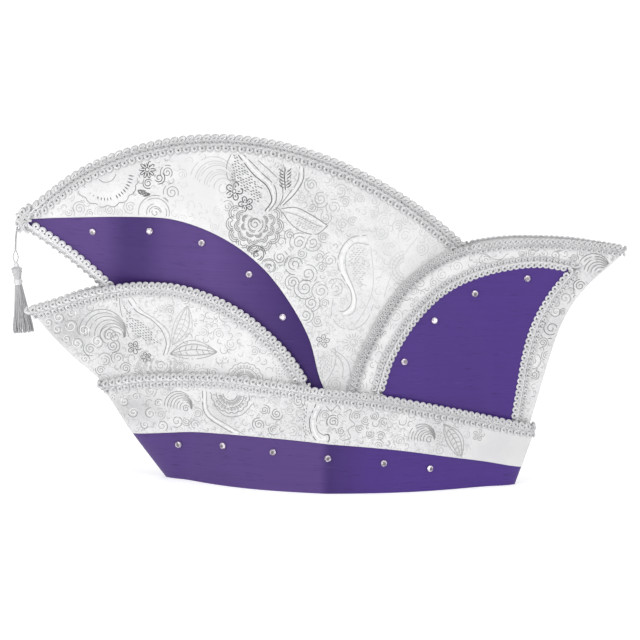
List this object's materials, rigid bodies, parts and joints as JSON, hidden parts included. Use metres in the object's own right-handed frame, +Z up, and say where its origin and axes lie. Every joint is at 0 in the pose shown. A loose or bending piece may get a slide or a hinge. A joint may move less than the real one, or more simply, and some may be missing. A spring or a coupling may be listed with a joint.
{
  "type": "carnival cap",
  "caption": "Boat-shaped carnival cap with a high pointed crown, brocade flaps, satin panels, looped braid, cut stones and a hanging tassel, worn on the head.",
  "frame": {"origin": "middle of the cap's length and width, on the plane of the rim that it stands on", "axes": "+X to the rear point, +Y to the wearer's right, +Z up; the pictured side is at -Y"},
  "size_m": [0.4599, 0.1154, 0.2569],
  "materials": {
    "satin": "purple slubbed satin with a soft sheen",
    "brocade": "white brocade with silver-grey woven motifs",
    "braid": "silver-white looped gimp cord",
    "crystal": "clear cut crystal with a foiled back",
    "silk": "silver-grey silk thread"
  },
  "bodies": {
    "root": {"crown_left": "satin", "crown_facing_left": "brocade", "front_flap_left": "brocade", "rear_flap_left": "brocade", "rear_inset_left": "satin", "band_left": "satin", "band_facing_left": "brocade", "ridge_braid_left": "braid", "crown_front_braid_left": "braid", "front_flap_braid_left": "braid", "rear_flap_braid_left": "braid", "rear_inset_braid_left": "braid", "band_braid_left": "braid", "stone_crown_left_1": "crystal", "stone_crown_left_2": "crystal", "stone_crown_left_3": "crystal", "stone_crown_left_4": "crystal", "stone_crown_left_5": "crystal", "stone_rear_left_1": "crystal", "stone_rear_left_2": "crystal", "stone_rear_left_3": "crystal", "stone_rear_left_4": "crystal", "stone_band_left_1": "crystal", "stone_band_left_2": "crystal", "stone_band_left_3": "crystal", "stone_band_left_4": "crystal", "stone_band_left_5": "crystal", "stone_band_left_6": "crystal", "crown_right": "satin", "crown_facing_right": "brocade", "front_flap_right": "brocade", "rear_flap_right": "brocade", "rear_inset_right": "satin", "band_right": "satin", "band_facing_right": "brocade", "ridge_braid_right": "braid", "crown_front_braid_right": "braid", "front_flap_braid_right": "braid", "rear_flap_braid_right": "braid", "rear_inset_braid_right": "braid", "band_braid_right": "braid", "stone_crown_right_1": "crystal", "stone_crown_right_2": "crystal", "stone_crown_right_3": "crystal", "stone_crown_right_4": "crystal", "stone_crown_right_5": "crystal", "stone_rear_right_1": "crystal", "stone_rear_right_2": "crystal", "stone_rear_right_3": "crystal", "stone_rear_right_4": "crystal", "stone_band_right_1": "crystal", "stone_band_right_2": "crystal", "stone_band_right_3": "crystal", "stone_band_right_4": "crystal", "stone_band_right_5": "crystal", "stone_band_right_6": "crystal", "tassel_cord": "silk", "tassel": "silk"}
  },
  "joints": []
}
